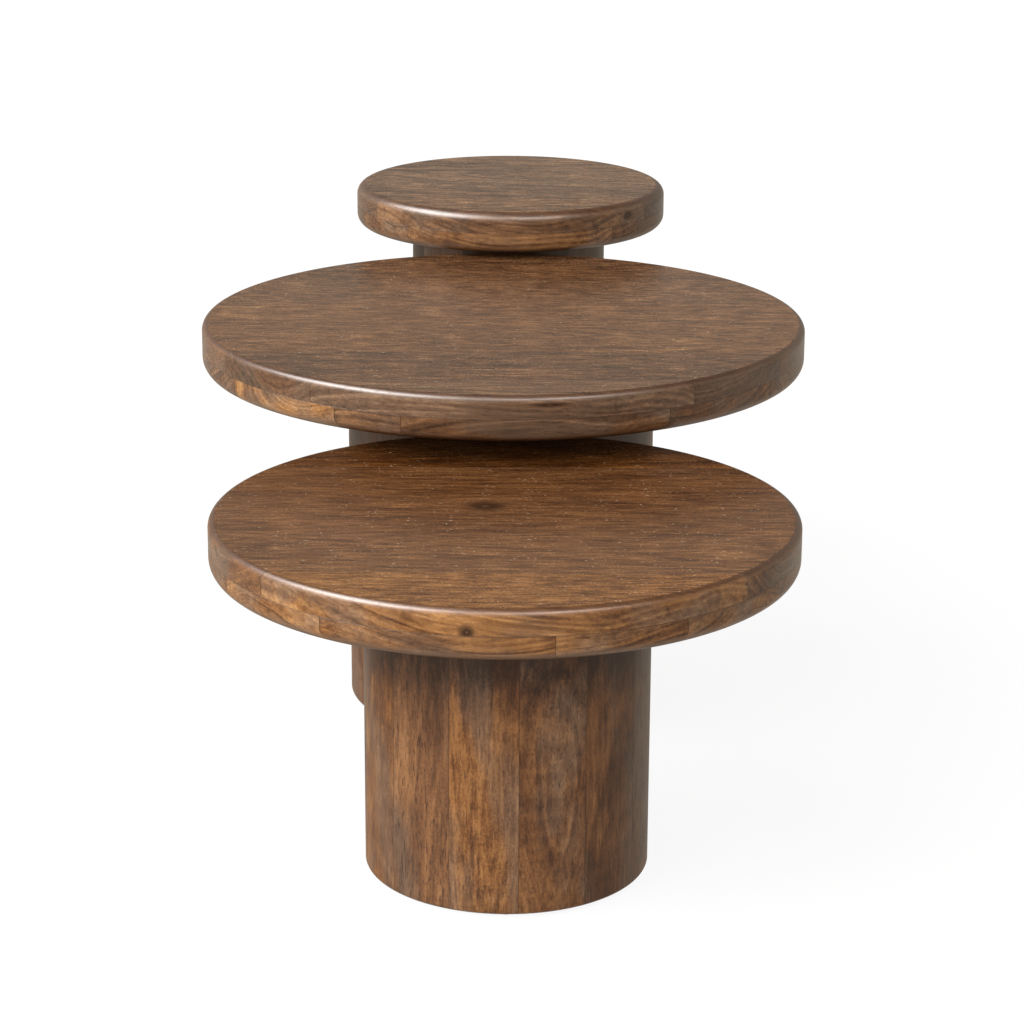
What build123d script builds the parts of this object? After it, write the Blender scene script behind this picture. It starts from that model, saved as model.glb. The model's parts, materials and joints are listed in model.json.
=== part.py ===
from build123d import *
import os
from dataclasses import dataclass

# Three round pedestal tables that nest: a low one in front, a large one in the middle and a
# small tall one behind. Millimetres, +Z up, +Y from the low table towards the tall one. The
# origin is on the floor, at the centre of the group's bounding box.

# Sizes that all three tables share.
TOP_THICKNESS = 52.0
LAYER_THICKNESS = TOP_THICKNESS / 2
TOP_BOTTOM_ROUND = 14.0
STAVE_THICKNESS = 28.0
DRUM_FOOT_ROUND = 4.0
PLYWOOD_THICKNESS = 18.0

PAD_THICKNESS = 3.0
PAD_RADIUS = 9.0
PAD_COUNT = 6
PAD_INSET = 18.0  # from the drum's outside to the middle of a pad

FOOT_RING_WIDTH = 40.0
FOOT_RING_RECESS = 12.0  # from the drum's foot up to the ring

BOLT_COUNT = 4
BOLT_FIRST_ANGLE = 45.0
BOLT_INSET = 33.0  # from the drum's inner flats to the bolt circle
BOLT_LENGTH = 35.0
BOLT_SHANK_RADIUS = 3.9
BOLT_HEAD_RADIUS = 7.0
BOLT_HEAD_HEIGHT = 5.0
BOLT_HEAD_ROUND = 2.5
BOLT_SOCKET_WIDTH = 5.0
BOLT_SOCKET_DEPTH = 3.0
BOLT_HOLE_RADIUS = 4.5
WASHER_RADIUS = 11.0
WASHER_THICKNESS = 1.6
INSERT_RADIUS = 6.0
INSERT_BORE_RADIUS = 4.0
INSERT_LENGTH = 15.0
INSERT_POCKET_DEPTH = 18.0

CUTTER_MARGIN = 5.0  # how far a cutting solid reaches past what it cuts


@dataclass
class Table:
    """One table: where it stands, its driving sizes, and the seams between its boards."""

    name: str
    x: float
    y: float
    height: float
    top_radius: float
    top_round: float
    drum_radius: float
    drum_offset: float  # the drum's axis, to the right of the top's
    stave_count: int
    upper_seams: tuple  # Y of each seam, from the top's centre
    lower_seams: tuple
    front_joint_x: float = None  # end-to-end joint in the lower layer's front board

    @property
    def underside(self):
        return self.height - TOP_THICKNESS

    @property
    def drum_height(self):
        return self.underside - PAD_THICKNESS

    @property
    def drum_axis(self):
        return Pos(self.drum_offset, 0, 0)

    @property
    def inner_flat(self):
        return self.drum_radius - STAVE_THICKNESS

    @property
    def stave_angle(self):
        return 360 / self.stave_count

    @property
    def bolt_circle(self):
        return self.inner_flat - BOLT_INSET


LOW = Table(
    name="low",
    x=4.0,
    y=-460.0,
    height=380.0,
    top_radius=300.0,
    top_round=8.0,
    drum_radius=147.5,
    drum_offset=3.0,
    stave_count=13,
    upper_seams=(-190, -75, 42, 160),
    lower_seams=(-245, -130, -12, 105, 215),
    front_joint_x=48.0,
)
LARGE = Table(
    name="large",
    x=0.0,
    y=47.0,
    height=459.0,
    top_radius=350.0,
    top_round=8.0,
    drum_radius=179.0,
    drum_offset=-2.5,
    stave_count=16,
    upper_seams=(-282, -163, -45, 72, 190),
    lower_seams=(-300, -185, -68, 50, 166, 270),
    front_joint_x=-108.0,
)
TALL = Table(
    name="tall",
    x=7.0,
    y=557.5,
    height=518.0,
    top_radius=202.5,
    top_round=13.0,
    drum_radius=127.0,
    drum_offset=-2.5,
    stave_count=11,
    upper_seams=(-106, -38, 75),
    lower_seams=(-155, -75, 25, 120),
)
TABLES = (LOW, LARGE, TALL)

# The staves are turned so that a seam lies this far to the right of the drum's front.
STAVE_SEAM_OFFSET = 4.8
FRONT_ANGLE = -90.0


def cylinder(radius, height, z):
    """An upright cylinder on the Z axis that stands on height z."""
    return Pos(0, 0, z) * Cylinder(radius, height, align=(Align.CENTER, Align.CENTER, Align.MIN))


def slab(x_range, y_range, z, height):
    """A box between two X values and two Y values that stands on height z."""
    size_x = x_range[1] - x_range[0]
    size_y = y_range[1] - y_range[0]
    box = Box(size_x, size_y, height, align=(Align.MIN, Align.MIN, Align.MIN))
    return Pos(x_range[0], y_range[0], z) * box


def drum_core(table, z, height):
    """The many-sided prism that the flat inner faces of the staves enclose."""
    polygon = RegularPolygon(table.inner_flat, table.stave_count, major_radius=False)
    first_corner = FRONT_ANGLE + STAVE_SEAM_OFFSET
    corner = polygon.vertices()[0]
    turn = first_corner - Vector(1, 0, 0).get_signed_angle(Vector(corner.X, corner.Y, 0))
    return Pos(0, 0, z) * Rot(0, 0, turn) * extrude(polygon, height)


def around(count, radius, first_angle):
    """Evenly spaced places on a circle, as locations."""
    step = 360 / count
    return [Rot(0, 0, first_angle + i * step) * Pos(radius, 0, 0) for i in range(count)]


def bolt_places(table):
    return around(BOLT_COUNT, table.bolt_circle, BOLT_FIRST_ANGLE)


def boards(layer, table, seams, z):
    """Cut a round layer into boards along X, from the front seam to the back one."""
    reach = table.top_radius + CUTTER_MARGIN
    edges = (-reach, *seams, reach)
    return [
        layer & slab((-reach, reach), (front, back), z - CUTTER_MARGIN, TOP_THICKNESS)
        for front, back in zip(edges[:-1], edges[1:])
    ]


def upper_boards(table):
    """The upper layer of the top, with the rounded edge of the tabletop."""
    z = table.height - LAYER_THICKNESS
    layer = cylinder(table.top_radius, LAYER_THICKNESS, z)
    rim = layer.edges().filter_by(GeomType.CIRCLE).sort_by(Axis.Z)[-1]
    layer = fillet(rim, table.top_round)
    return boards(layer, table, table.upper_seams, z)


def lower_boards(table):
    """The lower layer, with the rounded edge below and the pockets for the inserts."""
    layer = cylinder(table.top_radius, LAYER_THICKNESS, table.underside)
    rim = layer.edges().filter_by(GeomType.CIRCLE).sort_by(Axis.Z)[0]
    layer = fillet(rim, TOP_BOTTOM_ROUND)
    for place in bolt_places(table):
        pocket = place * cylinder(INSERT_RADIUS, INSERT_POCKET_DEPTH, table.underside)
        layer -= table.drum_axis * pocket
    return boards(layer, table, table.lower_seams, table.underside)


def split_front_board(board, table):
    """The front board of the lower layer as its two pieces, glued end to end."""
    reach = table.top_radius + CUTTER_MARGIN
    bottom = table.underside - CUTTER_MARGIN
    left = slab((-reach, table.front_joint_x), (-reach, reach), bottom, TOP_THICKNESS)
    right = slab((table.front_joint_x, reach), (-reach, reach), bottom, TOP_THICKNESS)
    return board & left, board & right


def drum_staves(table):
    """Boards on end, glued edge to edge, flat inside and turned round outside."""
    drum = cylinder(table.drum_radius, table.drum_height, PAD_THICKNESS)
    foot = drum.edges().filter_by(GeomType.CIRCLE).sort_by(Axis.Z)[0]
    drum = fillet(foot, DRUM_FOOT_ROUND)
    drum -= drum_core(table, PAD_THICKNESS, table.drum_height)
    reach = 2 * table.drum_radius
    far_edge = Rot(0, 0, table.stave_angle) * Pos(reach, 0, 0)
    wedge_face = make_face(Polyline((0, 0), (reach, 0), far_edge.position, (0, 0)))
    wedge = Pos(0, 0, PAD_THICKNESS) * extrude(wedge_face, table.drum_height)
    first = FRONT_ANGLE + STAVE_SEAM_OFFSET
    return [
        drum & (Rot(0, 0, first + i * table.stave_angle) * wedge)
        for i in range(table.stave_count)
    ]


def head_disc(table):
    """Plywood disc glued inside the drum's head, drilled for the bolts."""
    z = table.underside - PLYWOOD_THICKNESS
    disc = drum_core(table, z, PLYWOOD_THICKNESS)
    for place in bolt_places(table):
        disc -= place * cylinder(BOLT_HOLE_RADIUS, PLYWOOD_THICKNESS, z)
    return disc


def foot_ring(table):
    """Plywood ring glued inside the drum's foot."""
    z = PAD_THICKNESS + FOOT_RING_RECESS
    ring = drum_core(table, z, PLYWOOD_THICKNESS)
    return ring - cylinder(table.inner_flat - FOOT_RING_WIDTH, PLYWOOD_THICKNESS, z)


def threaded_inserts(table):
    insert = cylinder(INSERT_RADIUS, INSERT_LENGTH, table.underside)
    insert -= cylinder(INSERT_BORE_RADIUS, INSERT_LENGTH, table.underside)
    return [place * insert for place in bolt_places(table)]


def washers(table):
    z = table.underside - PLYWOOD_THICKNESS - WASHER_THICKNESS
    washer = cylinder(WASHER_RADIUS, WASHER_THICKNESS, z)
    washer -= cylinder(BOLT_HOLE_RADIUS, WASHER_THICKNESS, z)
    return [place * washer for place in bolt_places(table)]


def bolts(table):
    """Socket-head bolts that hold the top down on the head disc."""
    head_top = table.underside - PLYWOOD_THICKNESS - WASHER_THICKNESS
    head = cylinder(BOLT_HEAD_RADIUS, BOLT_HEAD_HEIGHT, head_top - BOLT_HEAD_HEIGHT)
    head = fillet(head.edges().filter_by(GeomType.CIRCLE).sort_by(Axis.Z)[0], BOLT_HEAD_ROUND)
    hexagon = RegularPolygon(BOLT_SOCKET_WIDTH / 2, 6, major_radius=False)
    socket = Pos(0, 0, head_top - BOLT_HEAD_HEIGHT) * extrude(hexagon, BOLT_SOCKET_DEPTH)
    bolt = head - socket + cylinder(BOLT_SHANK_RADIUS, BOLT_LENGTH, head_top)
    return [place * bolt for place in bolt_places(table)]


def felt_pads(table):
    pad = cylinder(PAD_RADIUS, PAD_THICKNESS, 0)
    places = around(PAD_COUNT, table.drum_radius - PAD_INSET, FRONT_ANGLE)
    return [place * pad for place in places]


def drum_nodes(table):
    """The drum and its fittings, centred on the drum's axis."""
    return {
        "drum_staves": drum_staves(table),
        "drum_head_disc": [head_disc(table)],
        "drum_foot_ring": [foot_ring(table)],
        "threaded_inserts": threaded_inserts(table),
        "bolt_washers": washers(table),
        "top_bolts": bolts(table),
        "felt_pads": felt_pads(table),
    }


def table_nodes(table):
    """Every piece of one table, by node name, as a list of separate solids."""
    nodes = {}
    for number, board in enumerate(upper_boards(table), start=1):
        nodes[f"top_upper_board_{number}"] = [board]
    for number, board in enumerate(lower_boards(table), start=1):
        nodes[f"top_lower_board_{number}"] = [board]
    if table.front_joint_x is not None:
        left, right = split_front_board(nodes.pop("top_lower_board_1")[0], table)
        nodes["top_lower_board_1_left"] = [left]
        nodes["top_lower_board_1_right"] = [right]
    for name, shapes in drum_nodes(table).items():
        nodes[name] = [table.drum_axis * shape for shape in shapes]
    return nodes


def write_node(name, shapes, place):
    """Write one node's solids, moved to where the table stands."""
    solids = [solid for shape in shapes for solid in (place * shape).solids()]
    part = solids[0] if len(solids) == 1 else Compound(children=solids)
    part.label = name
    export_step(part, f"parts/{name}.step")


os.makedirs("parts", exist_ok=True)
for table in TABLES:
    for node, shapes in table_nodes(table).items():
        write_node(f"{table.name}_{node}", shapes, Pos(table.x, table.y, 0))
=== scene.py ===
import json
import math
import random
from dataclasses import dataclass

import bpy
import numpy as np
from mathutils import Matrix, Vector


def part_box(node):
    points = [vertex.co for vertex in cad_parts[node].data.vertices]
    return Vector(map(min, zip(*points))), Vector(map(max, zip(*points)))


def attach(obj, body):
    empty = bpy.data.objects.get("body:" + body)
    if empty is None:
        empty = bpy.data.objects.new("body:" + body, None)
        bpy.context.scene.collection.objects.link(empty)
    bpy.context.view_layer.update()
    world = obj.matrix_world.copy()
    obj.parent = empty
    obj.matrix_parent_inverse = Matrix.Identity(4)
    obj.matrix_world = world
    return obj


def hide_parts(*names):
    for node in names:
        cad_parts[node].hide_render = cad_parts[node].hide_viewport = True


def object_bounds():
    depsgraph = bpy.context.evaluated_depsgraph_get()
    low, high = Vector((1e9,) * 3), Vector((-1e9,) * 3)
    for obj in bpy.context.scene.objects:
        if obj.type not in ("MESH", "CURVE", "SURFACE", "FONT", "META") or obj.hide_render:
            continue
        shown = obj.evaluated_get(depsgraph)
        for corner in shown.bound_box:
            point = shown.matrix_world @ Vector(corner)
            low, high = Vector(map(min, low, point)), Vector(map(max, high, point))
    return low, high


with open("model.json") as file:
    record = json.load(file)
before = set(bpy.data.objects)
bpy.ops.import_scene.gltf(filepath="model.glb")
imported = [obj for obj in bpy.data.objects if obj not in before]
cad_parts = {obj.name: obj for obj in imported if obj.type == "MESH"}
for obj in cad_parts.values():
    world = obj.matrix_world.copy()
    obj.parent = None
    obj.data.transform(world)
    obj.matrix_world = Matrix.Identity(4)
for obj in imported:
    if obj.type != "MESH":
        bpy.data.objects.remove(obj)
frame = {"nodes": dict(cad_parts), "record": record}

# Looks of three nesting tables. Metres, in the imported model's frame: +Y runs from the low table
# to the tall one, and the camera stands in front of the low table.

CAD_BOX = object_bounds()
MM = 0.001
RNG = random.Random(41)  # settles what GRAINS leaves open

# ------------------------------------------------------------------ sizes that boxes don't give
TOP_ROUND = {"low": 8 * MM, "large": 8 * MM, "tall": 13 * MM}
BOTTOM_ROUND = 14 * MM
FOOT_ROUND = 4 * MM
STAVE_COUNT = {"low": 13, "large": 16, "tall": 11}
STAVE_SEAM_OFFSET = math.radians(4.8)  # the first seam, to the right of the drum's front
FRONT = math.radians(-90)
SEAM_BEVEL = 0.12 * MM  # eased edge where two pieces of wood meet
ROUND_STEPS = 10
ARC_STEP = math.radians(1.2)
LEAST_ARC_POINTS = 4


@dataclass
class Table:
    """One table as the frame gives it. Its boards are named from the front to the back."""

    name: str
    centre: Vector
    drum_centre: Vector
    top: float
    seam: float
    underside: float
    foot: float
    top_radius: float
    drum_radius: float
    drum_flat: float
    upper: list
    lower: list

    @property
    def body(self):
        return f"{self.name}_table"

    @property
    def span(self):
        return 2 * math.pi / STAVE_COUNT[self.name]


def reach(nodes, centre):
    """Nearest and farthest corner of some CAD nodes from an upright axis."""
    corners = [v.co for node in nodes for v in frame["nodes"][node].data.vertices]
    distances = [math.hypot(c.x - centre.x, c.y - centre.y) for c in corners]
    return min(distances), max(distances)


def read_table(name):
    """Work out a table's sizes from its CAD nodes and its mounts."""
    mounts = {mount["name"]: mount for mount in frame["record"]["mounts"]}
    centre = Vector(mounts[f"{name}_tabletop"]["pos_m"])
    upper = sorted(node for node in frame["nodes"] if node.startswith(f"{name}_top_upper"))
    lower = sorted(node for node in frame["nodes"] if node.startswith(f"{name}_top_lower"))
    staves = f"{name}_drum_staves"
    drum_centre = Vector((mounts[f"{name}_foot"]["pos_m"][0], centre.y, 0))
    corner, drum_radius = reach([staves], drum_centre)
    return Table(
        name=name,
        centre=centre,
        drum_centre=drum_centre,
        top=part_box(upper[0])[1].z,
        seam=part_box(upper[0])[0].z,
        underside=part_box(lower[0])[0].z,
        foot=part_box(staves)[0].z,
        top_radius=reach(upper, centre)[1],
        drum_radius=drum_radius,
        drum_flat=corner * math.cos(math.pi / STAVE_COUNT[name]),
        upper=upper,
        lower=lower,
    )


TABLES = {name: read_table(name) for name in STAVE_COUNT}
LOW = TABLES["low"]

# ------------------------------------------------------------------ how each board looks
# Light runs from -1 (dark) to 1 (pale), gold from 0 (brown) to 1 (golden), grey from 0 to 1.
# Contrast scales the grain on faces that look up, and on upright faces.
TOP_CONTRAST = {"low": (0.7, 0.85), "large": (0.95, 0.8), "tall": (1.2, 0.85)}
STAVE_CONTRAST = (0.85, 0.85)
PITH_ASIDE = 0.05  # how far off a board's middle its pith may lie, across the board
PITH_DEPTH = (0.05, 0.14)  # and above or below it
TILT = 1.2  # degrees that the grain may run off a board's own direction
LEAN = 0.15
SEED_RANGE = 40
RANDOM_LIGHT = (-0.25, 0.2)
RANDOM_LIGHT_CHANGE = (-0.15, 0.15)
RANDOM_GOLD = (0, 0.35)
RANDOM_GREY = (0, 0.5)
RANDOM_PORES = (0.3, 0.8)
RANDOM_CURL = (0.1, 0.6)
FAR = 9.0  # no seam on that side
NO_KNOT = (9.0, 9.0, 9.0)  # in knot sizes, too far away to show


@dataclass
class Grain:
    """The look of one board or stave: at its start (left or foot) and at its end."""

    light: tuple = (0.0, 0.0)
    gold: tuple = (0.0, 0.0)
    grey: float = 0.0
    pores: float = 0.5
    curl: float = 0.3
    pith: tuple = None  # across and into the board, from its middle
    lean: float = None  # how much nearer the pith comes along the board
    knot: tuple = None  # millimetres from the table's axis and from the floor
    knot_size: tuple = (40, 14, 16)  # millimetres along, across and into the board


GRAINS = {
    "low_top_upper_board_1": Grain(
        (0.15, 0.1), (0.4, 0.3), 0.1, 0.5, 0.5, knot=(-34, -298, 358), knot_size=(7, 7, 6)
    ),
    "low_top_upper_board_2": Grain((0.0, -0.05), (0.1, 0.1), 0.35, 0.4, 0.3),
    "low_top_upper_board_3": Grain(
        (-0.05, -0.15), (0.0, 0.1), 0.3, 0.4, 0.3, knot=(-20, 22, 380), knot_size=(20, 15, 12)
    ),
    "low_top_upper_board_4": Grain((-0.15, -0.15), (0.0, 0.0), 0.3, 0.4, 0.3),
    # painted shade: this rear board is drawn darker where the large table's top hangs over it
    "low_top_upper_board_5": Grain((-0.35, -0.35), (0.1, 0.1), 0.0, 0.4, 0.3),
    "low_top_lower_board_1_left": Grain((0.0, 0.0), (0.3, 0.5), 0.1, 0.4, 0.6),
    "low_top_lower_board_1_right": Grain((0.7, -0.2), (1.0, 0.1), 0.1, 0.5, 0.6),
    "low_top_lower_board_2": Grain((0.15, 0.1), (0.35, 0.35), 0.2, 0.4, 0.5),
    "low_top_lower_board_3": Grain((0.0, -0.1), (0.3, 0.1), 0.3, 0.4, 0.4),
    "large_top_upper_board_1": Grain(
        (-0.05, -0.1), (0.1, 0.1), 0.8, 0.5, 0.3, knot=(50, -346, 449), knot_size=(20, 8, 2.2)
    ),
    "large_top_upper_board_2": Grain((-0.2, -0.25), (0.0, 0.0), 0.6, 0.6, 0.3),
    "large_top_upper_board_3": Grain((0.0, -0.05), (0.0, 0.1), 0.5, 0.5, 0.3),
    "large_top_upper_board_4": Grain((0.0, 0.0), (0.0, 0.0), 0.5, 0.5, 0.3),
    "large_top_upper_board_5": Grain((-0.05, -0.1), (0.0, 0.0), 0.6, 0.6, 0.3),
    # painted shade: this rear board is drawn darker where the tall table's top hangs over it
    "large_top_upper_board_6": Grain((-0.3, -0.2), (0.1, 0.0), 0.5, 0.5, 0.3),
    "large_top_lower_board_1_left": Grain((0.0, -0.05), (0.3, 0.1), 0.5, 0.5, 0.6),
    "large_top_lower_board_1_right": Grain((-0.35, 0.05), (0.1, 0.35), 0.5, 0.5, 0.6),
    "large_top_lower_board_2": Grain((0.25, -0.1), (0.85, 0.2), 0.2, 0.5, 0.6),
    "large_top_lower_board_3": Grain((-0.1, -0.1), (0.2, 0.2), 0.5, 0.5, 0.4),
    "tall_top_upper_board_1": Grain(
        (0.0, -0.05), (0.3, 0.5), 0.6, 0.6, 0.5, knot=(150, -135, 503), knot_size=(9, 9, 6)
    ),
    "tall_top_upper_board_2": Grain((-0.25, -0.35), (0.0, 0.0), 0.8, 0.7, 0.3),
    "tall_top_upper_board_3": Grain((-0.1, -0.1), (0.0, 0.0), 0.9, 0.7, 0.3),
    "tall_top_upper_board_4": Grain((-0.25, -0.15), (0.0, 0.0), 0.9, 0.7, 0.3),
    "tall_top_lower_board_1": Grain((0.0, 0.1), (0.3, 0.5), 0.4, 0.6, 0.7),
    "tall_top_lower_board_2": Grain((0.0, -0.2), (0.6, 0.2), 0.4, 0.5, 0.6),
    "tall_top_lower_board_3": Grain((-0.2, -0.2), (0.1, 0.1), 0.5, 0.5, 0.4),
    "low_stave_11": Grain((-0.1, -0.05), (0.25, 0.35), 0.0, 0.4, 0.4),
    "low_stave_12": Grain((-0.15, 0.05), (0.15, 0.1), 0.3, 1.0, 0.3),
    "low_stave_13": Grain((-0.08, 0.02), (0.6, 0.2), 0.0, 0.6, 0.6, (0.005, 0.05), 0.12),
    "low_stave_1": Grain((-0.02, -0.05), (0.1, 0.1), 0.1, 0.6, 1.0, (0.0, 0.03), 0.25),
    "low_stave_2": Grain((-0.15, -0.1), (0.1, 0.05), 0.1, 0.5, 0.6),
    "low_stave_3": Grain((-0.3, -0.25), (0.0, 0.0), 0.4, 0.5, 0.4),
}


def random_grain():
    """The look of a board or stave that GRAINS doesn't list."""
    light = RNG.uniform(*RANDOM_LIGHT)
    return Grain(
        light=(light, light + RNG.uniform(*RANDOM_LIGHT_CHANGE)),
        gold=(RNG.uniform(*RANDOM_GOLD), RNG.uniform(*RANDOM_GOLD)),
        grey=RNG.uniform(*RANDOM_GREY),
        pores=RNG.uniform(*RANDOM_PORES),
        curl=RNG.uniform(*RANDOM_CURL),
    )


# ------------------------------------------------------------------ meshes with their grain


class Shell:
    """Corners, faces, corner normals and grain data that become one mesh."""

    LAYERS = ("wood", "knot", "tone", "tint", "feature", "relief", "gaps")

    def __init__(self):
        self.points = []
        self.faces = []
        self.normals = []
        self.layers = {name: [] for name in self.LAYERS}

    def face(self, corners, normals=None):
        """Add a face by its corners' numbers, flat unless it is given its normals."""
        if normals is None:
            normals = [flat_normal([self.points[c] for c in corners])] * len(corners)
        self.faces.append(corners)
        self.normals.extend(normals)

    def stack(self, rings, slopes, rounded, smooth_steps):
        """Add side walls through a stack of equal rings. slopes holds each ring's profile
        normal, outward and up, and rounded says which edges of a ring lie on the round."""
        base = len(self.points)
        count = len(rings[0])
        for ring in rings:
            self.points.extend(ring)
        for level in range(len(rings) - 1):
            for i in range(count):
                j = (i + 1) % count
                low, high = base + level * count, base + (level + 1) * count
                corners = [low + i, low + j, high + j, high + i]
                if rounded[i] and smooth_steps[level]:
                    normals = [
                        round_normal(self.points[c], slopes[level + (c >= high)])
                        for c in corners
                    ]
                    self.face(corners, normals)
                else:
                    self.face(corners)
        return base, count

    def grain(self, grain, place, along, gaps, first, contrast):
        """Grain data for the corners from number first on. gaps gives a corner's distances
        to the seams: in front, behind, beside and level."""
        seed = RNG.uniform(0, SEED_RANGE)
        depth = RNG.choice((-1, 1)) * RNG.uniform(*PITH_DEPTH)
        pith = grain.pith or (RNG.uniform(-PITH_ASIDE, PITH_ASIDE), depth)
        tilt = math.radians(RNG.uniform(-TILT, TILT))
        lean = RNG.uniform(-LEAN, LEAN) if grain.lean is None else grain.lean
        for point in self.points[first:]:
            u, v, w = place(point)
            v += u * math.tan(tilt)
            self.layers["wood"].append((u + seed, v - pith[0], w - pith[1] + u * lean))
            offset = NO_KNOT
            if grain.knot is not None:
                offset = np.subtract(place(point), place(np.multiply(grain.knot, MM)))
                offset = np.divide(offset, np.multiply(grain.knot_size, MM))
            self.layers["knot"].append(offset)
            self.layers["tone"].append((*grain.light, along(point)))
            self.layers["tint"].append((*grain.gold, seed))
            self.layers["feature"].append((grain.pores, grain.curl, grain.grey))
            *upright, level = gaps(point)
            self.layers["gaps"].append(upright)
            self.layers["relief"].append((*contrast, level))

    def build(self, name, centre, material):
        """The finished object, moved from the table's own axis to where the table stands."""
        mesh = bpy.data.meshes.new(name)
        shift = np.array((centre.x, centre.y, 0.0))
        mesh.from_pydata(np.array(self.points) + shift, [], self.faces)
        for polygon in mesh.polygons:
            polygon.use_smooth = True
        mesh.normals_split_custom_set(self.normals)
        for layer, values in self.layers.items():
            data = mesh.attributes.new(layer, "FLOAT_VECTOR", "POINT").data
            data.foreach_set("vector", np.array(values, dtype=np.float32).ravel())
        mesh.materials.append(material)
        piece = bpy.data.objects.new(name, mesh)
        bpy.context.scene.collection.objects.link(piece)
        return piece


def flat_normal(points):
    """Newell normal of a polygon."""
    total = Vector((0, 0, 0))
    for a, b in zip(points, points[1:] + points[:1]):
        total += Vector(a).cross(Vector(b))
    return tuple(total.normalized())


def round_normal(point, slope):
    """Normal of a turned surface at a point, from its profile's normal there."""
    outward, up = slope
    radius = math.hypot(point[0], point[1])
    return (point[0] / radius * outward, point[1] / radius * outward, up)


# ------------------------------------------------------------------ boards of the tops


@dataclass
class Wall:
    """A cutting plane that a board's rim arc ends at."""

    axis: str
    value: float
    side: int

    def angle(self, radius):
        if self.axis == "y":
            angle = math.asin(self.value / radius)
            return angle if self.side > 0 else math.pi - angle
        return 2 * math.pi - math.acos(self.value / radius)

    def corner(self, radius):
        other = math.sqrt(radius**2 - self.value**2)
        return (self.side * other, self.value) if self.axis == "y" else (self.value, -other)


def board_arcs(front, back, joint, half):
    """The rim arcs of a board, counter-clockwise, and the corner away from the rim."""
    if joint is not None and half == "left":
        return [(Wall("y", back, -1), Wall("x", joint, 1))], (joint, back)
    if joint is not None:
        return [(Wall("x", joint, 1), Wall("y", back, 1))], (joint, back)
    if front is None:
        return [(Wall("y", back, -1), Wall("y", back, 1))], None
    if back is None:
        return [(Wall("y", front, 1), Wall("y", front, -1))], None
    right = (Wall("y", front, 1), Wall("y", back, 1))
    left = (Wall("y", back, -1), Wall("y", front, -1))
    return [right, left], None


def arc_counts(arcs, radius):
    """How many points each rim arc gets."""
    counts = []
    for start, end in arcs:
        span = (end.angle(radius) - start.angle(radius)) % (2 * math.pi)
        counts.append(max(LEAST_ARC_POINTS, math.ceil(span / ARC_STEP)))
    return counts


def board_ring(level, arcs, counts, inner_corner):
    """One level of a board's outline, and which of its edges are on the round."""
    radius, z, outward, up = level
    ring, rounded = [], []
    for (start, end), count in zip(arcs, counts):
        eased = SEAM_BEVEL / radius
        first = start.angle(radius) + eased
        span = (end.angle(radius) - eased - first) % (2 * math.pi)
        seam_radius = radius - SEAM_BEVEL * outward
        seam_z = z - SEAM_BEVEL * max(up, 0)
        ring.append((*start.corner(seam_radius), seam_z))
        rounded.append(False)
        for i in range(count):
            angle = first + span * i / (count - 1)
            ring.append((radius * math.cos(angle), radius * math.sin(angle), z))
            rounded.append(i < count - 1)
        ring.append((*end.corner(seam_radius), seam_z))
        rounded.append(False)
    if inner_corner is not None:
        ring.append((*inner_corner, seam_z))
        rounded.append(False)
    return ring, rounded


def quarter(radius, corner, start, end):
    """Profile levels round a quarter turn: radius, z, and the normal's outward and up parts."""
    levels = []
    for i in range(ROUND_STEPS + 1):
        angle = start + (end - start) * i / ROUND_STEPS
        outward, up = math.cos(angle), math.sin(angle)
        levels.append((corner[0] + radius * outward, corner[1] + radius * up, outward, up))
    return levels


def upper_profile(table):
    """Rim of the upper layer, from the level seam to the tabletop."""
    round_ = TOP_ROUND[table.name]
    edge = [
        (table.top_radius - SEAM_BEVEL, table.seam, 1.0, 0.0),
        (table.top_radius, table.seam + SEAM_BEVEL, 1.0, 0.0),
    ]
    corner = (table.top_radius - round_, table.top - round_)
    return edge + quarter(round_, corner, 0, math.pi / 2)


def lower_profile(table):
    """Rim of the lower layer, from the underside to the level seam."""
    corner = (table.top_radius - BOTTOM_ROUND, table.underside + BOTTOM_ROUND)
    edge = [
        (table.top_radius, table.seam - SEAM_BEVEL, 1.0, 0.0),
        (table.top_radius - SEAM_BEVEL, table.seam, 1.0, 0.0),
    ]
    return quarter(BOTTOM_ROUND, corner, -math.pi / 2, 0) + edge


def add_board(shell, table, node, profile, is_upper):
    """Add one board of a top to a shell, cut where the CAD board is cut."""
    low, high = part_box(node)
    front = None if "board_1" in node else low.y - table.centre.y
    back = None if node == last_board(table, is_upper) else high.y - table.centre.y
    half, joint = None, None
    if node.endswith("_left"):
        half, joint = "left", high.x - table.centre.x
    elif node.endswith("_right"):
        half, joint = "right", low.x - table.centre.x
    arcs, inner_corner = board_arcs(front, back, joint, half)
    counts = arc_counts(arcs, table.top_radius)
    rings = []
    for level in profile:
        ring, rounded = board_ring(level, arcs, counts, inner_corner)
        rings.append(ring)
    slopes = [level[2:] for level in profile]
    smooth = [True] * (len(profile) - 1)
    smooth[0 if is_upper else -1] = False
    first = len(shell.points)
    base, count = shell.stack(rings, slopes, rounded, smooth)
    shell.face([base + i for i in reversed(range(count))])
    last = base + (len(rings) - 1) * count
    if is_upper:
        close_top(shell, last, counts)
    else:
        shell.face([last + i for i in range(count)])
    middle = Vector((0, 0.5 * (low.y + high.y) - table.centre.y, 0.5 * (low.z + high.z)))
    grain = GRAINS.get(node) or random_grain()

    def place(point):
        return point[0], point[1] - middle.y, point[2] - middle.z

    def along(point):
        return 0.5 + 0.5 * point[0] / table.top_radius

    def gaps(point):
        ahead = FAR if front is None else point[1] - front
        behind = FAR if back is None else back - point[1]
        beside = FAR if joint is None else abs(point[0] - joint)
        return ahead, behind, beside, abs(point[2] - table.seam)

    shell.grain(grain, place, along, gaps, first, TOP_CONTRAST[table.name])


def last_board(table, is_upper):
    return (table.upper if is_upper else table.lower)[-1]


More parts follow.
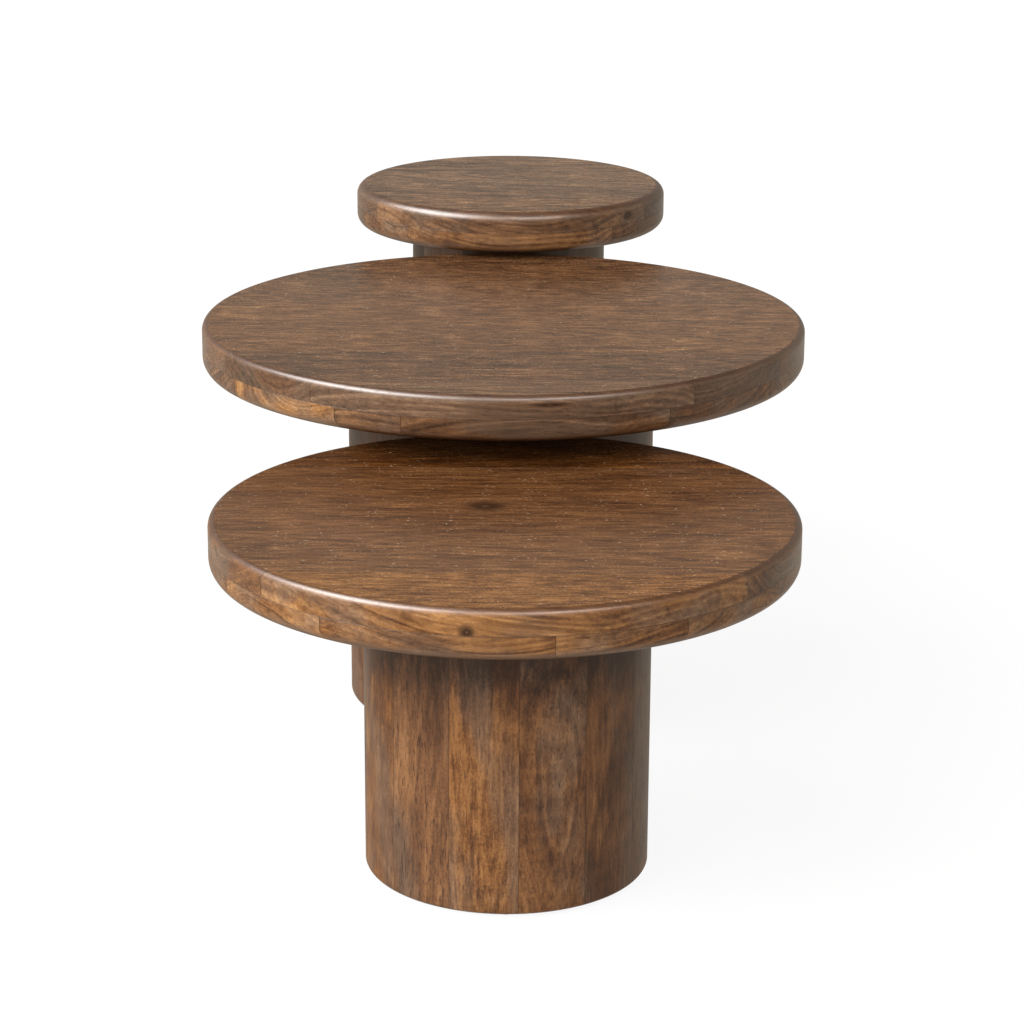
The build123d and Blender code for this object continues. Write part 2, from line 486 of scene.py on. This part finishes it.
def close_top(shell, last, counts):
    """The flat top face of an upper board and the eased edges along its seams."""
    top, start = [], last
    seams = []
    for count in counts:
        arc = list(range(start + 1, start + 1 + count))
        top.extend(arc)
        seams.append((start, arc[0], arc[-1], start + 1 + count))
        start += count + 2
    shell.face(top)
    for here, after in zip(seams, seams[1:] + seams[:1]):
        shell.face([here[3], after[0], after[1], here[2]])


# ------------------------------------------------------------------ staves of the drums


def drum_profile(table):
    """Outside of a drum, from its foot to the underside of the top."""
    corner = (table.drum_radius - FOOT_ROUND, table.foot + FOOT_ROUND)
    head = (table.drum_radius, table.underside, 1.0, 0.0)
    return quarter(FOOT_ROUND, corner, -math.pi / 2, 0) + [head]


def add_stave(shell, table, number):
    """Add one stave of a drum: round outside, flat inside."""
    start = FRONT + STAVE_SEAM_OFFSET + number * table.span
    end = start + table.span
    corner_radius = table.drum_flat / math.cos(table.span / 2)
    count = math.ceil(table.span / ARC_STEP)
    rings = []
    for radius, z, outward, up in drum_profile(table):
        eased = SEAM_BEVEL / radius
        seam_radius = radius - SEAM_BEVEL * outward
        ring = [(seam_radius * math.cos(start), seam_radius * math.sin(start), z)]
        for i in range(count):
            angle = start + eased + (table.span - 2 * eased) * i / (count - 1)
            ring.append((radius * math.cos(angle), radius * math.sin(angle), z))
        ring.append((seam_radius * math.cos(end), seam_radius * math.sin(end), z))
        for angle in (end, start):
            ring.append((corner_radius * math.cos(angle), corner_radius * math.sin(angle), z))
        rings.append(ring)
    rounded = [False] + [True] * (count - 1) + [False] * 4
    slopes = [level[2:] for level in drum_profile(table)]
    first = len(shell.points)
    base, size = shell.stack(rings, slopes, rounded, [True] * (len(rings) - 1))
    shell.face([base + i for i in reversed(range(size))])
    last = base + (len(rings) - 1) * size
    shell.face([last + i for i in range(size)])
    middle = start + table.span / 2
    out = Vector((math.cos(middle), math.sin(middle)))
    side = Vector((-math.sin(middle), math.cos(middle)))
    grain = GRAINS.get(f"{table.name}_stave_{number + 1}") or random_grain()

    def place(point):
        flat = Vector(point[:2])
        return point[2], flat.dot(side), flat.dot(out) - table.drum_radius

    def along(point):
        return (point[2] - table.foot) / (table.underside - table.foot)

    def gaps(point):
        x, y = point[:2]
        left = y * math.cos(start) - x * math.sin(start)
        right = x * math.sin(end) - y * math.cos(end)
        return left, right, FAR, FAR

    shell.grain(grain, place, along, gaps, first, STAVE_CONTRAST)


# ------------------------------------------------------------------ materials


class Tree:
    """The nodes of a material or of the world, made from short calls."""

    def __init__(self, owner):
        owner.use_nodes = True
        self.owner = owner
        self.nodes = owner.node_tree.nodes
        self.links = owner.node_tree.links
        self.nodes.clear()

    def add(self, kind, inputs=(), **settings):
        """Add a node. An input is a constant, or the socket that it is linked to."""
        node = self.nodes.new(f"ShaderNode{kind}")
        for key, value in settings.items():
            setattr(node, key, value)
        for key, value in dict(inputs).items():
            if isinstance(value, bpy.types.NodeSocket):
                self.links.new(value, node.inputs[key])
            else:
                node.inputs[key].default_value = value
        return node

    def math(self, operation, *values, clamp=False):
        inputs = dict(enumerate(values))
        return self.add("Math", inputs, operation=operation, use_clamp=clamp).outputs[0]

    def plus(self, a, b, clamp=False):
        return self.math("ADD", a, b, clamp=clamp)

    def minus(self, a, b, clamp=False):
        return self.math("SUBTRACT", a, b, clamp=clamp)

    def times(self, a, b, clamp=False):
        return self.math("MULTIPLY", a, b, clamp=clamp)

    def least(self, a, b):
        return self.math("MINIMUM", a, b)

    def swing(self, noise, amount):
        """A noise's swing to both sides of its middle."""
        return self.times(self.minus(noise, 0.5), amount)

    def vector(self, operation, a, b):
        return self.add("VectorMath", {0: a, 1: b}, operation=operation).outputs[0]

    def scaled(self, vector, factors):
        return self.vector("MULTIPLY", vector, factors)

    def noise(self, vector, detail=2.0, roughness=0.5, distortion=0.0):
        inputs = {"Vector": vector, "Scale": 1.0, "Detail": detail}
        inputs.update({"Roughness": roughness, "Distortion": distortion})
        return self.add("TexNoise", inputs)

    def pattern(self, place, size, **settings):
        """Noise that changes so many times in a metre along each axis."""
        return self.noise(self.scaled(place, size), **settings).outputs[0]

    def split(self, vector):
        return self.add("SeparateXYZ", {0: vector}).outputs

    def join(self, x, y, z):
        return self.add("CombineXYZ", {0: x, 1: y, 2: z}).outputs[0]

    def blend(self, factor, a, b):
        """A mix of two colours."""
        return self.add("Mix", {0: factor, 6: a, 7: b}, data_type="RGBA").outputs[2]

    def between(self, factor, a, b):
        """A mix of two numbers."""
        return self.add("Mix", {0: factor, 2: a, 3: b}, data_type="FLOAT").outputs[0]

    def fade(self, value, low, high, to_low, to_high, shape="LINEAR"):
        inputs = {0: value, 1: low, 2: high, 3: to_low, 4: to_high}
        return self.add("MapRange", inputs, interpolation_type=shape).outputs[0]

    def step(self, value, low, high, to_low=0.0, to_high=1.0):
        """A smooth step between two values."""
        return self.fade(value, low, high, to_low, to_high, "SMOOTHSTEP")

    def band(self, value, rise, fall):
        """1 between two smooth steps and 0 outside them."""
        return self.times(self.step(value, *rise), self.step(value, *fall))

    def ramp(self, factor, stops):
        node = self.add("ValToRGB", {0: factor})
        elements = node.color_ramp.elements
        for position, colour in stops[1:-1]:
            elements.new(position).color = colour
        elements[0].position, elements[0].color = stops[0]
        elements[len(stops) - 1].position, elements[len(stops) - 1].color = stops[-1]
        return node.outputs[0]

    def layer(self, name):
        """One of the layers that a Shell gives its mesh."""
        return self.add("Attribute", attribute_name=name).outputs["Vector"]

    def facing_up(self):
        """0 on an upright face and 1 on a level one."""
        normal = self.add("NewGeometry").outputs["Normal"]
        return self.math("ABSOLUTE", self.split(normal)[2])

    def finish(self, colour, roughness, height, distance, **sockets):
        """Add the shader and the output, and give back the finished material."""
        bump = self.add("Bump", {"Height": height, "Strength": 1.0, "Distance": distance})
        inputs = {"Base Color": colour, "Roughness": roughness, "Normal": bump.outputs[0]}
        inputs.update(sockets)
        shader = self.add("BsdfPrincipled", inputs)
        self.add("OutputMaterial", {"Surface": shader.outputs[0]})
        return self.owner


# ------------------------------------------------------------------ stained wood
# Colours are linear albedo. Each ramp runs from the darkest grain to the palest.
BROWN = (
    (0.0, (0.013, 0.0040, 0.0010, 1.0)),
    (0.25, (0.038, 0.0120, 0.0025, 1.0)),
    (0.5, (0.075, 0.0265, 0.0058, 1.0)),
    (0.75, (0.122, 0.0480, 0.0120, 1.0)),
    (1.0, (0.200, 0.0900, 0.0260, 1.0)),
)
GOLD = (
    (0.0, (0.032, 0.0100, 0.0020, 1.0)),
    (0.35, (0.095, 0.0370, 0.0085, 1.0)),
    (0.7, (0.185, 0.0840, 0.0240, 1.0)),
    (1.0, (0.280, 0.1450, 0.0500, 1.0)),
)
GREY = (
    (0.0, (0.019, 0.0105, 0.0060, 1.0)),
    (0.5, (0.072, 0.0400, 0.0230, 1.0)),
    (1.0, (0.165, 0.0980, 0.0560, 1.0)),
)
PORE = (0.012, 0.0042, 0.0015, 1.0)
# painted shade on the rounded edges
EDGE_PAINTED_SHADE = (0.022, 0.0075, 0.0030, 1.0)
SPECK = (0.300, 0.2200, 0.1500, 1.0)
KNOT_EDGE = (0.013, 0.0045, 0.0014, 1.0)
KNOT_CORE = (0.042, 0.0200, 0.0090, 1.0)

# How often each pattern changes in a metre: along the board, across it and into it.
WANDER = (2.6, 9.0, 9.0)
STREAKS = (4.0, 165.0, 165.0)
HAIR = (15.0, 270.0, 270.0)
FINE = (330.0, 420.0, 420.0)
PATCHES = (6.0, 15.0, 15.0)
FIGURE = (70.0, 28.0, 28.0)
CLOUDS = (7.0, 24.0, 24.0)
DASHES = (60.0, 620.0, 620.0)
SPECKS = (300.0, 380.0, 380.0)
FIBRES = (120.0, 520.0, 520.0)
RIPPLE = (55.0, 70.0, 70.0)
RINGS = 130.0  # away from the pith
LINES = 260.0
LINES_ALONG = 5.0

# How far each pattern changes the tone, on faces that look up and on upright faces.
RING_DEPTH = (0.6, 0.45)
STREAK_DEPTH = (0.9, 0.65)
LINE_DEPTH_UP = 0.5
HAIR_DEPTH = (1.6, 0.7)
FINE_DEPTH_UP = 0.8
PATCH_DEPTH = (0.15, 0.65)
FIGURE_DEPTH = (0.2, 0.5)
WANDER_REACH = (0.0, 0.05, 0.05)

# Where smooth steps start and end. The first three are in how level a face is, from 0 to 1.
UPRIGHT = (0.97, 0.3)
ROUNDED = ((0.2, 0.45), (0.995, 0.95))
# painted shade on the rounded edges, top and bottom
PAINTED_SHADE_BAND = ((0.55, 0.8), (0.999, 0.98))
KNOT_NEAR = (0.3, 1.6)  # in knot sizes from its middle
KNOT_CORE_STEP = (0.28, 0.1)
END_TO_END = (0.15, 0.85)  # along the board, or up the stave
# painted shade: up the stave, where the top shadows the head of the drum
UNDER_TOP_SHADE_SPAN = (0.6, 0.84)
GOLD_TONE = (0.2, 0.6)
DASH_STEP = (0.36, 0.24)
CLOUD_STEP = (0.42, 0.66)
SPECK_STEP = (0.77, 0.82)
GLUE_STEP = (0.1 * MM, 0.6 * MM)

MIDDLE_TONE = 0.47
LIGHT_REACH = 0.5
EDGE_CONTRAST = 0.55
KNOT_PUSH = (0.0, 0.012, 0.012)
KNOT_STRENGTH = 0.95
PORE_STRENGTH = 0.8
GOLD_PATCHES = 1.2
GREY_UP = 0.8
CLOUD_STRENGTH = 0.7
SPECK_STRENGTH = 0.6
GLUE_STRENGTH = 0.6
PAINTED_SHADE_STRENGTH = 0.6
ROUGHNESS_SWING = 0.08
EDGE_ROUGHER = 0.09
PORE_ROUGHER = 0.25
FIBRE_HEIGHT = 0.4
PORE_HEIGHT = 0.6
BUMP_HEIGHT = 0.06 * MM
LACQUER_IOR = 1.5
GLOSS = (0.25, 0.5)  # on faces that look up, and on upright faces
EDGE_GLOSS = 1.0  # burnished


class Wood(Tree):
    """Stained wood under lacquer. It reads the grain data that a Shell gives its corners."""

    def __init__(self, name):
        super().__init__(bpy.data.materials.new(name))
        self.wood, self.knot = self.layer("wood"), self.layer("knot")
        self.light_start, self.light_end, self.along = self.split(self.layer("tone"))
        self.gold_start, self.gold_end, self.seed = self.split(self.layer("tint"))
        self.pores, self.curl, self.grey = self.split(self.layer("feature"))
        *self.contrasts, level = self.split(self.layer("relief"))
        ahead, behind, beside = self.split(self.layer("gaps"))
        self.gap = self.least(self.least(ahead, behind), self.least(beside, level))
        self.level = self.facing_up()
        self.rim = self.step(self.level, *UPRIGHT)
        self.edge = self.band(self.level, *ROUNDED)
        self.end = self.step(self.along, *END_TO_END)
        self.bend_round_knot()
        self.draw_patterns()

    def bend_round_knot(self):
        """Push the grain aside round the knot."""
        distance = self.add("VectorMath", {0: self.knot}, operation="LENGTH")
        self.knot_distance = distance.outputs["Value"]
        self.knot_near = self.step(self.knot_distance, *KNOT_NEAR, 1.0, 0.0)
        inputs = {0: self.scaled(self.knot, KNOT_PUSH), "Scale": self.knot_near}
        push = self.add("VectorMath", inputs, operation="SCALE").outputs[0]
        self.bent = self.vector("SUBTRACT", self.wood, push)

    def draw_patterns(self):
        """The patterns of the grain. Rings and lines lie round the pith."""
        wander = self.noise(self.scaled(self.bent, WANDER)).outputs["Color"]
        wander = self.vector("SUBTRACT", wander, (0.5, 0.5, 0.5))
        warped = self.vector("ADD", self.bent, self.scaled(wander, WANDER_REACH))
        length, across, deep = self.split(warped)
        square = self.plus(self.math("POWER", across, 2.0), self.math("POWER", deep, 2.0))
        radius = self.math("SQRT", square)
        ring_place = self.join(self.times(radius, RINGS), self.seed, 0.0)
        line_place = self.join(
            self.times(radius, LINES), self.times(length, LINES_ALONG), self.seed
        )
        self.rings = self.noise(ring_place, detail=3.0, roughness=0.6).outputs[0]
        self.lines = self.noise(line_place, detail=1.0).outputs[0]
        self.streaks = self.pattern(warped, STREAKS, detail=3.0, roughness=0.65)
        self.hair = self.pattern(self.bent, HAIR, roughness=0.6)
        self.fine = self.pattern(self.bent, FINE, detail=1.0, roughness=0.7)
        self.patches = self.pattern(self.bent, PATCHES, roughness=0.55)
        self.figure = self.pattern(warped, FIGURE, detail=1.0)
        dashes = self.pattern(self.bent, DASHES, detail=0.0)
        self.dash = self.times(self.step(dashes, *DASH_STEP), self.times(self.pores, PORE_STRENGTH))

    def by_face(self, up, upright):
        """One value on faces that look up and another on upright faces."""
        return self.between(self.rim, up, upright)

    def mix_tone(self, line_depth, speckle, painted_shade_under_top):
        """How pale the grain is: the board's own light (partly painted shade on the rear boards),
        the painted shade at the head, and the patterns on it.
        """
        light = self.between(self.end, self.light_start, self.light_end)
        tone = self.plus(MIDDLE_TONE, self.times(light, LIGHT_REACH))
        # painted shade towards the head of each stave, under the top
        tone = self.minus(tone, self.times(self.step(self.along, *UNDER_TOP_SHADE_SPAN), painted_shade_under_top))
        patterns = (
            (self.rings, RING_DEPTH),
            (self.streaks, STREAK_DEPTH),
            (self.lines, (LINE_DEPTH_UP, line_depth)),
            (self.hair, HAIR_DEPTH),
            (self.fine, (FINE_DEPTH_UP, speckle)),
            (self.patches, PATCH_DEPTH),
        )
        change = 0.0
        for pattern, depths in patterns:
            change = self.plus(change, self.swing(pattern, self.by_face(*depths)))
        figure = self.swing(self.figure, self.by_face(*FIGURE_DEPTH))
        change = self.plus(change, self.times(figure, self.curl))
        contrast = self.by_face(*self.contrasts)
        contrast = self.times(contrast, self.between(self.edge, 1.0, EDGE_CONTRAST))
        return self.plus(tone, self.times(change, contrast))

    def mix_colour(self, tone):
        """Brown, golden and grey wood, then pores, specks, glue lines, painted shade on the rounded
        edges, and knots.
        """
        gold = self.between(self.end, self.gold_start, self.gold_end)
        gold = self.plus(gold, self.times(self.swing(self.patches, GOLD_PATCHES), self.rim))
        gold = self.times(gold, self.step(tone, *GOLD_TONE), clamp=True)
        colour = self.blend(gold, self.ramp(tone, BROWN), self.ramp(tone, GOLD))
        clouds = self.noise(self.scaled(self.bent, CLOUDS)).outputs["Color"]
        clouds = self.step(self.split(clouds)[1], *CLOUD_STEP, 0.0, CLOUD_STRENGTH)
        grey = self.times(self.grey, self.by_face(GREY_UP, 1.0))
        grey = self.plus(grey, self.times(clouds, self.rim), clamp=True)
        colour = self.blend(grey, colour, self.ramp(tone, GREY))
        colour = self.blend(self.dash, colour, PORE)
        specks = self.pattern(self.bent, SPECKS, detail=0.0)
        speck = self.times(self.step(specks, *SPECK_STEP), self.by_face(SPECK_STRENGTH, 0.0))
        colour = self.blend(speck, colour, SPECK)
        glue = self.step(self.gap, *GLUE_STEP, GLUE_STRENGTH, 0.0)
        colour = self.blend(glue, colour, PORE)
        # painted shade: the rounded edges drawn darker
        painted_edge_shade = self.times(self.band(self.level, *PAINTED_SHADE_BAND), PAINTED_SHADE_STRENGTH)
        colour = self.blend(painted_edge_shade, colour, EDGE_PAINTED_SHADE)
        colour = self.blend(self.times(self.knot_near, KNOT_STRENGTH), colour, KNOT_EDGE)
        return self.blend(self.step(self.knot_distance, *KNOT_CORE_STEP), colour, KNOT_CORE)

    def lacquer(self, colour, roughness):
        """The finished material, with the lacquer's roughness, bumps and gloss."""
        rough = self.plus(roughness, self.swing(self.patches, ROUGHNESS_SWING))
        rough = self.plus(rough, self.swing(self.fine, ROUGHNESS_SWING))
        rough = self.plus(rough, self.times(self.edge, EDGE_ROUGHER))
        rough = self.plus(rough, self.times(self.dash, PORE_ROUGHER), clamp=True)
        fibres = self.pattern(self.wood, FIBRES, detail=1.0)
        ripple = self.pattern(self.wood, RIPPLE, detail=1.0)
        height = self.plus(self.times(fibres, FIBRE_HEIGHT), ripple)
        height = self.minus(height, self.times(self.dash, PORE_HEIGHT))
        gloss = self.between(self.edge, self.by_face(*GLOSS), EDGE_GLOSS)
        sockets = {"IOR": LACQUER_IOR, "Specular IOR Level": gloss}
        return self.finish(colour, rough, height, BUMP_HEIGHT, **sockets)


def wood_material(name, roughness, line_depth, speckle, painted_shade_under_top):
    """line_depth and speckle are the depths of the lines and the fine grain on upright faces.
    The last argument is the painted shade that darkens the end of each piece, where the top shadows
    the head of the drum."""
    tree = Wood(name)
    colour = tree.mix_colour(tree.mix_tone(line_depth, speckle, painted_shade_under_top))
    return tree.lacquer(colour, roughness)


TOP_WOOD = wood_material(
    "stained_top_wood", roughness=0.25, line_depth=1.1, speckle=0.3, painted_shade_under_top=0.0
)
# the drums get painted shade at their heads, under the tops
DRUM_WOOD = wood_material(
    "stained_drum_wood", roughness=0.36, line_depth=0.5, speckle=0.5, painted_shade_under_top=0.42
)

# ------------------------------------------------------------------ make the wooden pieces
for table in TABLES.values():
    for node in table.upper:
        shell = Shell()
        add_board(shell, table, node, upper_profile(table), True)
        piece = shell.build(f"{node}_wood", table.centre, TOP_WOOD)
        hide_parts(node)
        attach(piece, table.body)
    shell = Shell()
    for node in table.lower:
        add_board(shell, table, node, lower_profile(table), False)
    piece = shell.build(f"{table.name}_top_lower_layer", table.centre, TOP_WOOD)
    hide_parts(*table.lower)
    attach(piece, table.body)

GROUP = {"low": 1, "large": 4, "tall": 3}  # staves to a piece
for table in TABLES.values():
    group = GROUP[table.name]
    for start in range(0, STAVE_COUNT[table.name], group):
        shell = Shell()
        for number in range(start, min(start + group, STAVE_COUNT[table.name])):
            add_stave(shell, table, number)
        piece = shell.build(f"{table.name}_drum_stave_{start + 1}", table.drum_centre, DRUM_WOOD)
        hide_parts(f"{table.name}_drum_staves")
        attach(piece, table.body)

# ------------------------------------------------------------------ pieces kept from the CAD
VENEER = 1.5 * MM
VENEER_STEP = (0.42 * VENEER, 0.58 * VENEER)
PLY_FACE = (0.6, 0.8)  # in how level a face is
PLY_GRAIN = (8.0, 160.0, 160.0)
PLY_FLECKS = (110.0, 700.0, 700.0)
PLY_PATCHES = (9.0, 9.0, 9.0)
PLY_VENEER_SHADE = 0.5
PLY_FLECK_SHADE = 0.3
PLY_PATCH_SHADE = 0.3
PLY_DARKER = 0.2
PLY_ROUGHNESS = 0.55
PLY_FLECK_ROUGHER = 0.3
PLY_BUMP = 0.1 * MM
PLYWOOD = (
    (0.0, (0.180, 0.1000, 0.0450, 1.0)),
    (0.5, (0.420, 0.2800, 0.1500, 1.0)),
    (1.0, (0.620, 0.4600, 0.2800, 1.0)),
)
METAL_STAINS = (140.0, 140.0, 140.0)
METAL_STAIN_STEP = (0.35, 0.65)
METAL_STAIN_ROUGHER = 0.25
METAL_BUMP = 0.04 * MM
TOOL_MARKS = 200.0
FELT_HAIR = (1500.0, 1500.0, 2500.0)
FELT_CLUMPS = (260.0, 260.0, 400.0)
FELT_HAIR_PART = 0.7
FELT_CLUMP_PART = 0.3
FELT_ROUGHNESS = 0.85
FELT_CLUMP_ROUGHER = 0.15
FELT_BUMP = 0.4 * MM
FELT = (
    (0.2, (0.006, 0.0050, 0.0040, 1.0)),
    (0.5, (0.022, 0.0170, 0.0130, 1.0)),
    (0.9, (0.060, 0.0480, 0.0380, 1.0)),
)
BRASS_DARK = (0.330, 0.2050, 0.0700, 1.0)
BRASS = (0.640, 0.4500, 0.1900, 1.0)
ZINC_DARK = (0.250, 0.2500, 0.2600, 1.0)
ZINC = (0.480, 0.4850, 0.5000, 1.0)


def plywood():
    """Birch plywood: grain on the faces, veneers along the edges."""
    tree = Tree(bpy.data.materials.new("birch_plywood"))
    place = tree.add("TexCoord").outputs["Object"]
    on_face = tree.step(tree.facing_up(), *PLY_FACE)
    grain = tree.pattern(place, PLY_GRAIN, detail=3.0, roughness=0.6)
    flecks = tree.pattern(place, PLY_FLECKS, detail=1.0)
    patches = tree.pattern(place, PLY_PATCHES)
    veneer = tree.math("PINGPONG", tree.split(place)[2], VENEER)
    veneer = tree.step(veneer, *VENEER_STEP)
    shade = tree.between(on_face, tree.times(veneer, PLY_VENEER_SHADE), grain)
    shade = tree.plus(shade, tree.times(flecks, PLY_FLECK_SHADE))
    shade = tree.plus(shade, tree.times(patches, PLY_PATCH_SHADE))
    shade = tree.minus(shade, PLY_DARKER, clamp=True)
    rough = tree.plus(PLY_ROUGHNESS, tree.times(flecks, PLY_FLECK_ROUGHER))
    height = tree.plus(flecks, veneer)
    return tree.finish(tree.ramp(shade, PLYWOOD), rough, height, PLY_BUMP)


def metal(name, dark, pale, roughness, turned):
    """A small metal piece, a little dull and stained. turned is how close together its tool
    marks are along its axis."""
    tree = Tree(bpy.data.materials.new(name))
    place = tree.add("TexCoord").outputs["Object"]
    stains = tree.pattern(place, METAL_STAINS, detail=3.0)
    marks = tree.pattern(place, (TOOL_MARKS, TOOL_MARKS, turned))
    colour = tree.blend(tree.step(stains, *METAL_STAIN_STEP), dark, pale)
    rough = tree.plus(roughness, tree.times(stains, METAL_STAIN_ROUGHER))
    return tree.finish(colour, rough, marks, METAL_BUMP, Metallic=1.0)


def felt():
    """Pressed wool felt: matted hair in all directions."""
    tree = Tree(bpy.data.materials.new("pressed_felt"))
    place = tree.add("TexCoord").outputs["Object"]
    hair = tree.pattern(place, FELT_HAIR, detail=3.0, distortion=1.5)
    clumps = tree.pattern(place, FELT_CLUMPS)
    mixed = tree.plus(tree.times(hair, FELT_HAIR_PART), tree.times(clumps, FELT_CLUMP_PART))
    rough = tree.plus(FELT_ROUGHNESS, tree.times(clumps, FELT_CLUMP_ROUGHER))
    return tree.finish(tree.ramp(mixed, FELT), rough, mixed, FELT_BUMP)


KEPT = {
    "drum_head_disc": plywood(),
    "threaded_inserts": metal("turned_brass", BRASS_DARK, BRASS, roughness=0.25, turned=4000.0),
    "top_bolts": metal("zinc_plate", ZINC_DARK, ZINC, roughness=0.3, turned=TOOL_MARKS),
    "felt_pads": felt(),
}
KEPT["drum_foot_ring"] = KEPT["drum_head_disc"]
KEPT["bolt_washers"] = KEPT["top_bolts"]
for table in TABLES.values():
    for ending, material in KEPT.items():
        mesh = frame["nodes"][f"{table.name}_{ending}"].data
        for slot in range(len(mesh.materials)):
            mesh.materials[slot] = material

# ------------------------------------------------------------------ floor
scene = bpy.context.scene
scene.view_settings.view_transform = "Standard"

FLOOR_REACH = 40.0
FLOOR_GREY = (0.06, 0.06, 0.06, 1.0)  # the part of the floor that takes shadows
FLOOR_GLOW = 0.9
FLOOR_SIGNS = ((-1, -1), (1, -1), (1, 1), (-1, 1))
floor_corners = [(x * FLOOR_REACH, y * FLOOR_REACH, CAD_BOX[0].z) for x, y in FLOOR_SIGNS]
floor_mesh = bpy.data.meshes.new("floor")
floor_mesh.from_pydata(floor_corners, [], [(0, 1, 2, 3)])
floor = bpy.data.objects.new("floor", floor_mesh)
scene.collection.objects.link(floor)
floor.visible_glossy = False
floor_tree = Tree(bpy.data.materials.new("floor"))
floor_diffuse = floor_tree.add("BsdfDiffuse", {"Color": FLOOR_GREY})
floor_glow = floor_tree.add("Emission", {"Strength": FLOOR_GLOW})
floor_both = floor_tree.add("AddShader", {0: floor_diffuse.outputs[0], 1: floor_glow.outputs[0]})
floor_tree.add("OutputMaterial", {"Surface": floor_both.outputs[0]})
floor_mesh.materials.append(floor_tree.owner)

# ------------------------------------------------------------------ light
LEFT_GLINTS = (-110, -94, -78, -62, -46)  # azimuths of lamps side by side, like one long one
FRONT_GLINTS = (8, 24, 40)
GROUND_BAND = (-0.2, 0.05)  # in the upward part of a ray's direction
GROUND_LIGHT = (0.47, 0.41)
SKY_BAND = (math.sin(math.radians(25)), math.sin(math.radians(50)))
SKY_LIGHT = (1.0, 0.15)
BACKDROP = 1.0
WARM = (1.0, 0.90, 0.76, 1.0)
WHITE = (1.0, 1.0, 1.0, 1.0)


def sun(name, azimuth, elevation, width, strength, glints=False):
    """A soft light far away. Azimuth 0 is over the camera and 90 is to its right. Only the
    lights with glints show as reflections in the lacquer, and only the others light the wood."""
    lamp = bpy.data.lights.new(name, "SUN")
    lamp.angle = math.radians(width)
    lamp.energy = strength
    light = bpy.data.objects.new(name, lamp)
    a, e = math.radians(azimuth), math.radians(elevation)
    towards = Vector((math.sin(a) * math.cos(e), -math.cos(a) * math.cos(e), math.sin(e)))
    light.rotation_euler = towards.to_track_quat("Z", "Y").to_euler()
    light.visible_glossy = glints
    light.visible_diffuse = not glints
    scene.collection.objects.link(light)


for number, azimuth in enumerate(LEFT_GLINTS):
    sun(f"left_glint_{number}", azimuth, elevation=50, width=30, strength=1.1, glints=True)
for number, azimuth in enumerate(FRONT_GLINTS):
    sun(f"front_glint_{number}", azimuth, elevation=50, width=20, strength=0.35, glints=True)
sun("high_softbox", azimuth=-62, elevation=50, width=60, strength=4.8)
sun("left_softbox", azimuth=-62, elevation=17, width=60, strength=6.0)
sun("rear_left_softbox", azimuth=-120, elevation=20, width=60, strength=2.0)
sun("front_softbox", azimuth=8, elevation=20, width=60, strength=3.3)
sun("rear_fill", azimuth=140, elevation=45, width=60, strength=0.6)

# The camera sees a white backdrop. All else gets a dim warm light that fades towards the zenith.
scene.world = bpy.data.worlds.new("studio")
studio = Tree(scene.world)
is_seen = studio.add("LightPath").outputs["Is Camera Ray"]
upward = studio.split(studio.add("TexCoord").outputs["Generated"])[2]
ground = studio.fade(upward, *GROUND_BAND, *GROUND_LIGHT)
sky = studio.fade(upward, *SKY_BAND, *SKY_LIGHT)
brightness = studio.between(is_seen, studio.times(ground, sky), BACKDROP)
tint = studio.blend(is_seen, WARM, WHITE)
background = studio.add("Background", {"Color": tint, "Strength": brightness})
studio.add("OutputWorld", {"Surface": background.outputs[0]})

# ------------------------------------------------------------------ camera
CAMERA_DISTANCE = 2.90  # in front of the low table's axis
CAMERA_HEIGHT = 1.29
CAMERA_SIDE = 7 * MM
CAMERA_PITCH = math.radians(17.407)
CAMERA_ROLL = math.radians(0.286)
SENSOR_WIDTH = 36.0  # millimetres, as is the lens
LENS = 105.6
FARTHEST_SEEN = 200.0
camera_data = bpy.data.cameras.new("camera")
camera_data.sensor_width = SENSOR_WIDTH
camera_data.lens = LENS
camera_data.clip_end = FARTHEST_SEEN
camera = bpy.data.objects.new("camera", camera_data)
camera.location = (LOW.centre.x + CAMERA_SIDE, LOW.centre.y - CAMERA_DISTANCE, CAMERA_HEIGHT)
camera.rotation_euler = (math.pi / 2 - CAMERA_PITCH, 0, 0)
camera.rotation_euler.rotate_axis("Z", CAMERA_ROLL)
scene.collection.objects.link(camera)
scene.camera = camera
